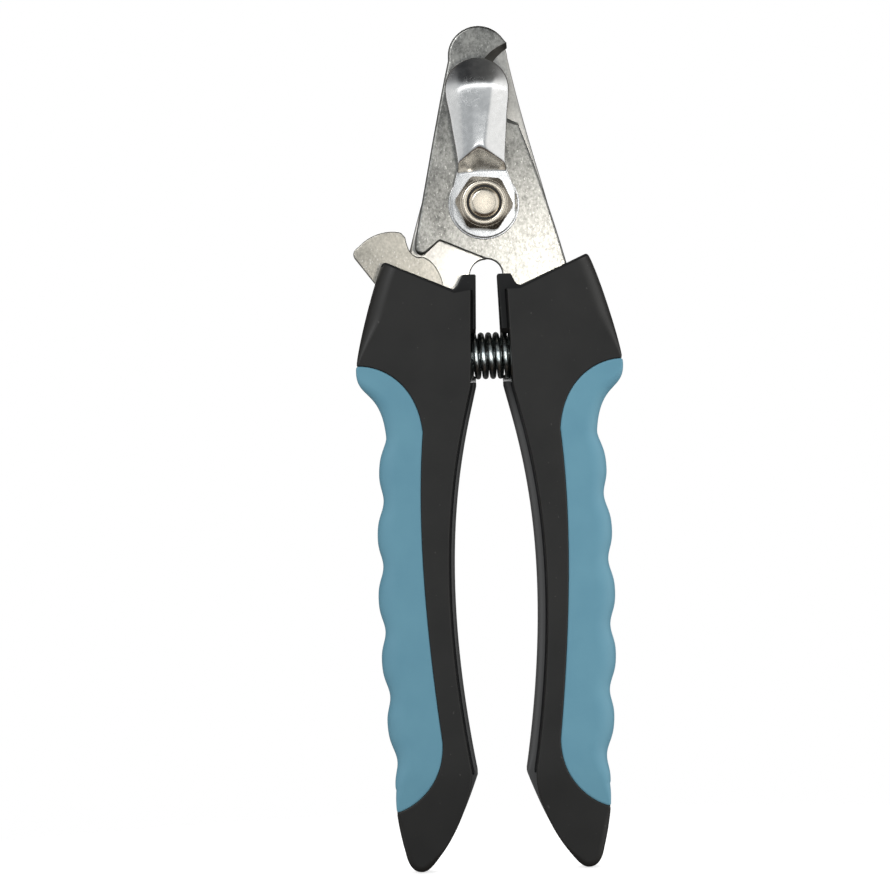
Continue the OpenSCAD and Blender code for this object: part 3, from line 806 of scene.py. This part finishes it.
def core(name, step, drop):
    """The core of a right handle, with a groove beside each cover and a pocket for the spring."""
    obj = moulded(
        name, core_outline(drop), CORE_FRONT, CORE_BACK, both=True,
        cuts=TAPER_CUTS, warp=toe_taper)
    groove_top, under_cover = -16.6, 0.2
    inner = np.array([[wall(groove_top), groove_top], *BOW, [BOW_FOOT_X, -110.6]])
    band = np.concatenate([inner + [step - GROOVE_WIDTH, 0], inner[::-1] + [step + under_cover, 0]])
    top, foot = SPRING_Z + POCKET_RADIUS, SPRING_Z - POCKET_RADIUS
    reach = WALL_FOOT[0] + step
    window = [[-1, top], [reach, top], [reach, foot], [-1, foot]]
    return cut(
        obj,
        prism("groove", band, CORE_FRONT - REACH, CORE_FRONT + GROOVE_DEPTH),
        prism("groove", band, CORE_BACK - GROOVE_DEPTH, CORE_BACK + REACH),
        spring_pocket(start=-1, end=7.5),
        prism("window", window, CORE_FRONT - REACH, MIDDLE))


# ---------------------------------------------------------------- blades

def plate_foot(side_round, corner_round):
    """The lower part of a blade outline, with its tang towards the right."""
    return [
        edge(bezier([7.3, 14.8], [11.4, 4], [14.3, -6.5], [16.2, -14]), side_round),
        edge([[15.6, -20]], 0.1),
        edge([[7.9, -24], [3.15, -14.6]], 0.3),
        edge(arc([0.1, -13.7], 3.05, 0, 90), 0.3),
        edge([[-8.8, -6.8]], corner_round / 2),
        edge(arc([-12.35, -8.15], 1.3, -45, -192, 0.15), corner_round),
    ]


def plate_foot_flipped(side_round, corner_round):
    """The same with its tang towards the left."""
    return [part[::-1] * [-1, 1, 1] for part in plate_foot(side_round, corner_round)[::-1]]


def hook_blade():
    """The front blade, whose slanted round grinding cut forms the nail opening."""
    outline = joined(
        *plate_foot(0.45, 0.75),
        edge(bezier([-13.5, -6], [-11.6, 2.5], [-8.6, 18], [-6.1, 28]), 0.6),
        edge(arc([-0.2, 28.8], 5.9, 172, 32, 0.2), 0.6),
        edge([[5.38, 31.25]], 0.3),
    )
    obj = moulded("hook_plate", softened(outline, 0.3), HOOK_FRONT, HOOK_BACK, both=True)
    slant = math.radians(37)
    radius = 8.6
    opening_left, opening_z = -0.95, 23.4
    middle = Vector((opening_left + radius / math.cos(slant), HOOK_FRONT, opening_z))
    along = Vector((math.sin(slant), math.cos(slant), 0)) * 12
    cut(obj, bar("grind", radius, middle - along, middle + along, segments=256))
    return drilled(obj, PIVOT_HOLE, HOOK_FRONT, HOOK_BACK)


def anvil_blade():
    """The rear blade, with a round hollow on its left that widens towards the back."""
    outline = joined(
        edge(bezier([5.5, 28.5], [8.9, 11.5], [12.2, 2.6], [13.6, -5.4]), 0.45),
        *plate_foot_flipped(0.5, 0.6),
        edge(arc([-0.2, 28.3], 5.7, 158, 8, 0.2), 0.4),
    )
    obj = moulded("anvil_plate", softened(outline, 0.3), ANVIL_FRONT, ANVIL_BACK, both=True)
    radius, bevel = 9.5, 1.6
    hollow_right, hollow_z = -2.5, 22
    hollow = turned("hollow", [
        (radius, ANVIL_FRONT - REACH), (radius, ANVIL_FRONT + 0.5),
        (radius + bevel, ANVIL_BACK), (radius + bevel, ANVIL_BACK + REACH)])
    hollow.data.transform(Matrix.Translation((hollow_right - radius, 0, hollow_z)))
    cut(obj, hollow)
    return drilled(obj, PIVOT_HOLE, ANVIL_FRONT, ANVIL_BACK)


# ---------------------------------------------------------------- guard

GUARD_THICKNESS = 1.0
GUARD_TILT = 1.8  # degrees that the guard leans to the left
GUARD_RISE = 3.6
GUARD_END = 22.3
GUARD_ROUND = 0.28
RAMP_FOOT = 6.1
RAMP_TOP = 10.9
RIGHT_SLOPE = 0.45
LEFT_SLOPE = 0.27
LEFT_RIM_SLOPE = 0.28
DIP_SLOPE = 0.75


def softly_above(value, limit, softness):
    """value - limit where it is positive and nought elsewhere, with a soft turn between."""
    over = value - limit
    return (over + math.sqrt(over * over + softness * softness)) / 2


def guard_warp(co):
    """Lifts the flat guard blank into its faceted channel, its steep ramp and its dipped end."""
    x, z = co.x, co.z
    flat = 0.95 + 0.097 * max(z - 8, 0)  # half width of the flat strip, which widens upwards
    across = x + 0.4 - 0.09 * (z - 11)  # distance from the strip's middle, which leans
    if across > 0:
        sides = RIGHT_SLOPE * softly_above(across, flat, 0.45)
    else:
        sides = LEFT_SLOPE * softly_above(-across, flat, 0.45)
        sides += LEFT_RIM_SLOPE * softly_above(-across, flat + 1.6, 0.3)
    towards_end = math.hypot(0.55 * x, max(z - 18.6, 0))
    dip = DIP_SLOPE * softly_above(towards_end, 4.9, 1.3)
    roof = GUARD_RISE - sides - dip
    fold = RAMP_TOP - 0.75 * softly_above(abs(x + 0.3), 0.2, 0.4)
    climb = max((z - RAMP_FOOT) / (fold - RAMP_FOOT), 0) ** 1.7
    climb -= softly_above(climb, 1, 0.14)
    return Vector((x, co.y - max(roof, 0) * max(climb, 0), z))


def guard_outline():
    """A round ring that narrows to a neck and widens again to a round end."""
    half_width, end_height = 6.2, 6.1
    neck = bezier([4.6, 7.3], [4.62, 9.6], [5.2, 13.2], [5.55, 17], 0.4)
    upper = bezier([5.55, 17], [5.8, 19], [half_width, 20.6], [half_width, GUARD_END], 0.4)
    end = arc([0, 0], 1, 0, 90, 1 / 20) * [half_width, end_height] + [0, GUARD_END]
    half = np.concatenate([neck, upper[1:], end[1:]])
    ring = arc([0, 0], 6.6, 22, -202)
    parts = (half * [-1, 1], half[-2::-1], ring)
    return joined(*(edge(part, GUARD_ROUND) for part in parts))


def safety_guard():
    """The swivelling stop plate, which lies on the guard washer."""
    gap = 0.05
    back = WASHER_FRONT - gap
    front = back - GUARD_THICKNESS
    cuts = [(0, x) for x in np.arange(-6, 6.01, 0.4)] + [(2, z) for z in np.arange(5, 28.4, 0.3)]
    obj = moulded(
        "guard_sheet", guard_outline(), front, back, both=True,
        cuts=cuts, warp=guard_warp, steps=4)
    obj.data.transform(Matrix.Rotation(math.radians(-GUARD_TILT), 4, "Y"))
    return drilled(obj, PIVOT_HOLE, front, back)


# ---------------------------------------------------------------- pivot, lever and spring

def hexagon(name, front, back, turn):
    """A hexagonal prism about the pivot axis, turned by some degrees."""
    radius = ACROSS_FLATS / math.sqrt(3)
    corners = [math.radians(60 * k + turn) for k in range(6)]
    return prism(name, [(radius * math.cos(a), radius * math.sin(a)) for a in corners[::-1]], front, back)


def collar_roll(outer, inner, lip):
    """The rolled front rim of a nut's collar, as (radius, y) points from outside to inside."""
    points = []
    for angle in np.linspace(0, math.pi, 25):
        out = math.copysign(abs(math.cos(angle)) ** 0.7, math.cos(angle))
        forward = max(math.sin(angle), 0) ** 0.5
        points.append(((outer + inner) / 2 + lip * out, NUT_FRONT + lip - lip * forward))
    return points


def lock_nut():
    """A hexagonal nut with chamfered corners and a rolled collar."""
    collar_height = 1.6
    front = NUT_FRONT + collar_height
    corner = ACROSS_FLATS * 0.555
    body = hexagon("nut_body", front, NUT_BACK, -5.6)
    chamfers = turned("chamfers", [
        (ACROSS_FLATS / 2 - 0.4, front - 0.01),
        (corner, front + 1.1),
        (corner, NUT_BACK - 0.45),
        (ACROSS_FLATS / 2 + 0.1, NUT_BACK + 0.01),
    ])
    cut(body, chamfers, operation="INTERSECT")
    outer, inner, fillet = 4.35, 3.35, 0.25
    sunk, bottom = front + 1, NUT_FRONT + 2.0
    collar = [
        (AXIS_GAP, sunk), (outer + fillet, sunk),
        (outer + fillet, front + 0.02), (outer, front - fillet),
        *collar_roll(outer, inner, lip=0.5),
        (inner, bottom), (AXIS_GAP, bottom),
    ]
    cut(body, turned("collar", collar), operation="UNION")
    return drilled(body, PIVOT_HOLE - 0.01, NUT_FRONT, NUT_BACK)


def pivot_bolt():
    """A hexagon bolt, with its head at the back and its chamfered end standing out of the nut."""
    corner = ACROSS_FLATS / math.sqrt(3) + 0.1
    head_height = 3.4
    head_front = BOLT_BACK - head_height
    head = hexagon("bolt", head_front, BOLT_BACK, 8)
    chamfers = turned("chamfers", [
        (corner, head_front - 0.01),
        (corner, BOLT_BACK - 0.8),
        (ACROSS_FLATS / 2 - 0.2, BOLT_BACK + 0.01),
    ])
    cut(head, chamfers, operation="INTERSECT")
    thread = PIVOT_HOLE - 0.05
    shank = turned("shank", [
        (thread, head_front + 1),
        (thread, BOLT_FRONT + 0.6),
        (2.9, BOLT_FRONT + 0.48),
        (2.42, BOLT_FRONT + 0.1),
        (2.28, BOLT_FRONT + 0.02),
        (2.1, BOLT_FRONT),
        (0.05, BOLT_FRONT + 0.03),
    ])
    return cut(head, shank, operation="UNION")


def lock_lever():
    """The flat thumb lever, which is round about its pin."""
    outline = joined(
        edge(arc([-24.3, -9], 1.4, 222, 135, 0.2), 0.3),
        edge(bezier([-24.2, -7.1], [-22, -4.9], [-18.4, -4.3], [-16.3, -5]), 0.3),
        edge(bezier([-15.5, -5.9], [-15.1, -8.6], [-14.3, -9.7], [-12.8, -9.85]), 0.3),
        edge(bezier([-12, -9.9], [-10.5, -10.4], [-9.2, -12.2], [-8.5, -14.8]), 0.3),
        edge(arc(LEVER_PIVOT, 4, 20, -110), 0.2),
        edge([[-21.4, -15.2]], 0.3),
    )
    obj = moulded("lever_plate", softened(outline, 0.5), LEVER_FRONT, LEVER_BACK, both=True)
    return drilled(obj, 1.65, LEVER_FRONT, LEVER_BACK, LEVER_PIVOT)


def return_spring():
    """An evenly wound coil between the handles."""
    wire, turns, per_turn, sides = 1.15, 8.5, 48, 16
    coil = SPRING_RADIUS - wire / 2
    half = SPRING_END - wire / 2
    rings = []
    for i in range(round(turns * per_turn) + 1):
        a = 2 * math.pi * i / per_turn
        x = -half + 2 * half * i / (turns * per_turn)
        ring = []
        for k in range(sides):
            b = 2 * math.pi * k / sides
            r = coil + wire / 2 * math.cos(b)
            ring.append((x + wire / 2 * math.sin(b), MIDDLE + r * math.cos(a), SPRING_Z + r * math.sin(a)))
        rings.append(ring)
    bm = bmesh.new()
    loft(bm, rings)
    return from_bmesh("return_coil", bm)


# ---------------------------------------------------------------- assembly

def handle(side):
    """The two covers, the grip and the core of one handle."""
    body = side + "_half"
    x = -1 if side == "left" else 1
    step, drop = CORE_STEP[side], HOOD_DROP[side]
    for face, y_about in (("front", None), ("back", MIDDLE)):
        shell = mirrored(cover(f"{side}_{face}_cover", step, drop), x, y_about)
        finished(shell, body, BLACK, f"{side}_{face}_shell")
    finished(mirrored(grip(f"{side}_soft_grip"), x), body, BLUE, f"{side}_grip")
    finished(mirrored(core(f"{side}_inner_core", step, drop), x), body, CORE_SHADE_AND_SHEEN, f"{side}_core")


handle("left")
handle("right")
finished(hook_blade(), "right_half", BLADE, "hook_blade")
finished(anvil_blade(), "left_half", LIT_BACK_BLADE, "anvil_blade")
finished(safety_guard(), "guard", GUARD, "safety_guard", smooth=math.radians(50))
finished(lock_nut(), "left_half", BRIGHT, "lock_nut")
finished(pivot_bolt(), "left_half", BRIGHT, "pivot_bolt")
finished(lock_lever(), "lever", LEVER, "lock_lever")
finished(washer("front_washer", 6.9, *depths("guard_washer")), "left_half", GUARD, "guard_washer")
finished(washer("rear_washer", 6.5, *depths("head_washer")), "left_half", BRIGHT, "head_washer")
coil = finished(return_spring(), None, SPRING, "return_spring")
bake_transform(coil)

SHOWN_AS_CAD = {
    "nut_insert": NYLON,
    "lever_pin": BRIGHT,
    "lever_washer": BRIGHT,
    "left_spring_cup": SPRING,
    "right_spring_cup": SPRING,
    "left_tang_rivets": BRIGHT,
    "right_tang_rivets": BRIGHT,
}
for node, material in SHOWN_AS_CAD.items():
    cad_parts[node].data.materials.clear()
    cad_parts[node].data.materials.append(material)


# ---------------------------------------------------------------- stage, light and camera

def floor():
    """A pale round floor just under the toes."""
    radius, gap = 0.16, 0.0002
    low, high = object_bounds()
    bm = bmesh.new()
    bmesh.ops.create_circle(bm, cap_ends=True, segments=128, radius=radius)
    obj = from_bmesh("floor", bm)
    obj.location = (0, (low[1] + high[1]) / 2, low[2] - gap)
    obj.data.materials.append(pale_floor("pale_floor", radius))
    obj.visible_glossy = False
    obj.visible_diffuse = False
    obj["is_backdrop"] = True


def studio():
    """White behind the object, and soft grey, bright and dark zones for the metal to mirror."""
    world = bpy.data.worlds.new("studio")
    bpy.context.scene.world = world
    world.use_nodes = True
    world.node_tree.nodes.clear()
    wiring = Wiring(world.node_tree)
    nodes, links, mixed = wiring.nodes, wiring.links, wiring.mixed

    def between(value, start, end):
        """0 before start and 1 after end, with a smooth change."""
        node = nodes.new("ShaderNodeMapRange")
        node.interpolation_type = "SMOOTHSTEP"
        links.new(value, node.inputs[0])
        node.inputs[1].default_value = start
        node.inputs[2].default_value = end
        return node.outputs[0]

    x, y, z = wiring.axes(nodes.new("ShaderNodeTexCoord").outputs["Generated"])
    beside = wiring.math("MAXIMUM", x, wiring.math("MULTIPLY", x, -0.55))
    below = wiring.math("MULTIPLY", z, -1.0)
    overhead = mixed(between(x, -0.2, 0.3), (0.032, 0.033, 0.035), (0.12, 0.12, 0.116))
    colour = mixed(between(beside, 0.32, 0.64), (0.44, 0.46, 0.475), (1.0, 1.0, 0.99))
    colour = mixed(between(z, 0.5, 0.8), colour, overhead)
    colour = mixed(between(below, 0.35, 0.7), colour, (0.075, 0.055, 0.042))
    colour = mixed(between(y, -0.05, 0.2), colour, (0.10, 0.095, 0.09))
    lit = nodes.new("ShaderNodeBackground")
    wiring.feed(lit.inputs[0], colour)
    white = nodes.new("ShaderNodeBackground")
    wiring.feed(white.inputs[0], (1, 1, 1))
    choose = nodes.new("ShaderNodeMixShader")
    links.new(nodes.new("ShaderNodeLightPath").outputs["Is Camera Ray"], choose.inputs[0])
    links.new(lit.outputs[0], choose.inputs[1])
    links.new(white.outputs[0], choose.inputs[2])
    links.new(choose.outputs[0], nodes.new("ShaderNodeOutputWorld").inputs[0])


def panel_light(name, place, target, size, watts, only, tint=(1, 1, 1)):
    """A soft panel of (width, height) that faces a point and lights only the named objects."""
    data = bpy.data.lights.new(name, "AREA")
    data.shape = "RECTANGLE"
    data.size, data.size_y = size
    data.energy = watts
    data.color = tint
    obj = bpy.data.objects.new(name, data)
    bpy.context.scene.collection.objects.link(obj)
    obj.location = place
    obj.rotation_euler = (Vector(target) - Vector(place)).to_track_quat("-Z", "Y").to_euler()
    obj.visible_camera = False
    lit = bpy.data.collections.new(name)
    for piece in only:
        lit.objects.link(bpy.data.objects[piece])
    obj.light_linking.receiver_collection = lit


def lights():
    """Broad lights for all but the mirror-like guard and spring, and small ones for the steel.

    Places and sizes are in metres.
    """
    centre = (0, 0, -0.05)
    pivot = (0, 0, 0)
    mirrors = ("guard_sheet", "return_coil")
    meshes = [obj.name for obj in bpy.context.scene.objects if obj.type == "MESH"]
    others = [name for name in meshes if name not in mirrors]
    right_side = ["right_front_cover", "right_soft_grip"]
    panel_light("key", (-0.35, -0.6, 0.35), centre, (0.4, 0.4), 2.0, others)
    panel_light("side", (0.6, -0.15, 0), centre, (0.6, 0.6), 1.0, right_side)
    panel_light("rear", (0, 0.7, 0.3), centre, (0.5, 0.5), 4.0, others)
    panel_light(
        "gleam", (0.0143, -0.11, -0.0126), (0.012, 0, -0.016), (0.02, 0.02), 0.029,
        ["hook_plate", "anvil_plate", "lever_plate"], tint=(1.0, 0.96, 0.9))
    panel_light(
        "nut_gleam", (0.001, -0.11, 0.0045), pivot, (0.017, 0.017), 0.0018,
        ["nut_body", "bolt"], tint=(1.0, 0.97, 0.92))
    panel_light(
        "ring_gleam", (0.0075, -0.11, 0.0035), (0.004, 0, 0), (0.016, 0.016), 0.0024,
        ["guard_sheet", "front_washer"])
    panel_light("brow", (0, -0.445, 0.24), (0, 0, 0.02), (1.4, 0.12), 0.75, ["guard_sheet"])
    panel_light("spark", (0, -0.3, -0.045), (0, 0, SPRING_Z * MM), (0.8, 0.2), 1.8, ["return_coil"])


def camera():
    """A long lens facing the front of the tool, rolled slightly as a hand would hold it."""
    roll = math.radians(1.88)
    distance, height = 0.9, 0.1732
    aim_x, aim_z = -0.0091, -0.0467
    data = bpy.data.cameras.new("camera")
    data.sensor_width = 36
    data.lens = data.sensor_width * distance / height
    data.clip_start = 0.05
    data.clip_end = 20
    obj = bpy.data.objects.new("camera", data)
    bpy.context.scene.collection.objects.link(obj)
    turn = Matrix((
        (math.cos(roll), math.sin(roll), 0),
        (0, 0, -1),
        (-math.sin(roll), math.cos(roll), 0))).to_4x4()
    obj.matrix_world = Matrix.Translation((aim_x, -distance + HOOK_FRONT * MM, aim_z)) @ turn
    bpy.context.scene.camera = obj


floor()
studio()
camera()
lights()
bpy.context.scene.view_settings.view_transform = "Standard"
